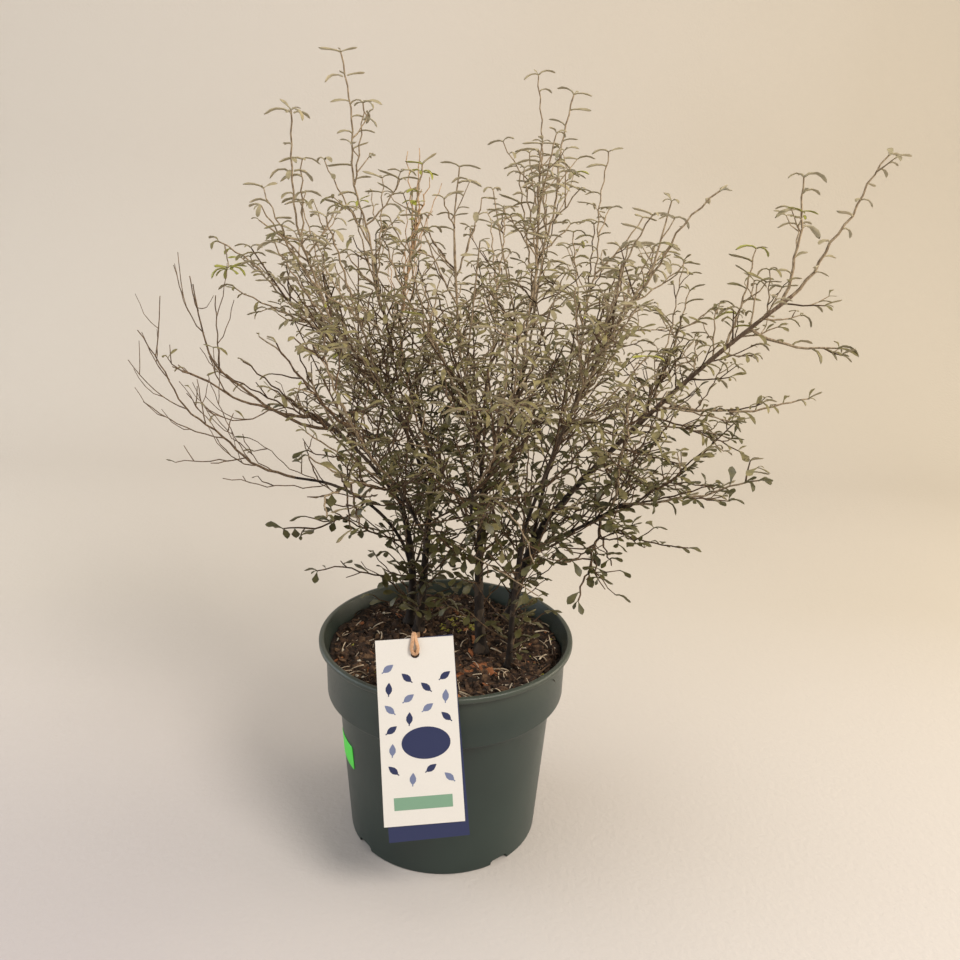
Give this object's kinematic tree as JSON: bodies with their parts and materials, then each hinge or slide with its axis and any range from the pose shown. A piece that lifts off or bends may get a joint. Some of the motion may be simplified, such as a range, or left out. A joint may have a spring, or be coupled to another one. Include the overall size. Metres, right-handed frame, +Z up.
{
  "type": "potted corokia shrub",
  "caption": "Small evergreen shrub with wiry zigzag twigs and narrow grey-green leaves, growing in a round tapered plastic nursery pot with a hang tag; stands on the pot's flat base.",
  "frame": {"origin": "middle of the pot's flat underside", "axes": "+Z up the pot's axis; -Y towards the hang tag, which is the front of the picture; +X to the right of it"},
  "size_m": [0.4687, 0.3792, 0.5266],
  "materials": {
    "bark": "thin dark brown bark, dull, slightly ridged",
    "foliage": "narrow olive grey-green leaves, silvery below, on thin dark twigs",
    "twigs": "bare wiry grey-brown twigs",
    "pot": "dark grey-green moulded plastic, satin",
    "soil": "moist dark peat with fibres and bark chips",
    "card": "smooth printed card, white and pale sage green",
    "backing": "smooth dark blue card",
    "elastic": "thin beige elastic band",
    "label": "bright green self-adhesive paper"
  },
  "bodies": {
    "root": {"stem_left_back": "bark", "stem_left_front": "bark", "stem_centre": "bark", "stem_right": "bark", "stem_thin": "bark", "bough_low_left": "bark", "bough_left": "bark", "bough_back_left": "bark", "bough_upper_left": "bark", "bough_left_shoot": "bark", "bough_tall_left": "bark", "bough_front_left": "bark", "bough_mid": "bark", "bough_centre_shoot": "bark", "bough_front": "bark", "bough_back": "bark", "bough_inner_right": "bark", "bough_right_shoot": "bark", "bough_far_right": "bark", "bough_low_right": "bark", "bare_low_left": "twigs", "sprig_low_left": "foliage", "bare_left": "twigs", "bare_left_lower": "twigs", "crown_left": "foliage", "shoot_lime_left": "foliage", "crown_upper_left": "foliage", "crown_back_left": "foliage", "shoot_left": "foliage", "crown_left_inner": "foliage", "shoot_tall_left": "foliage", "shoot_lime_centre": "foliage", "crown_front_left": "foliage", "skirt_front_left": "foliage", "crown_mid": "foliage", "crown_mid_left": "foliage", "shoot_centre": "foliage", "shoot_centre_right": "foliage", "crown_front": "foliage", "crown_back": "foliage", "low_centre": "foliage", "shoot_inner_right": "foliage", "crown_back_right": "foliage", "shoot_right": "foliage", "crown_right": "foliage", "far_right_tip": "foliage", "far_right_shoot": "foliage", "far_right_inner": "foliage", "far_right_low": "foliage", "far_right_under": "foliage", "right_mid": "foliage", "low_right_tip": "foliage", "skirt_right": "foliage", "crown_front_right": "foliage", "pot": "pot", "soil": "soil", "tag_card": "card", "tag_backing": "backing", "tag_tie": "elastic", "price_label": "label"}
  },
  "joints": []
}
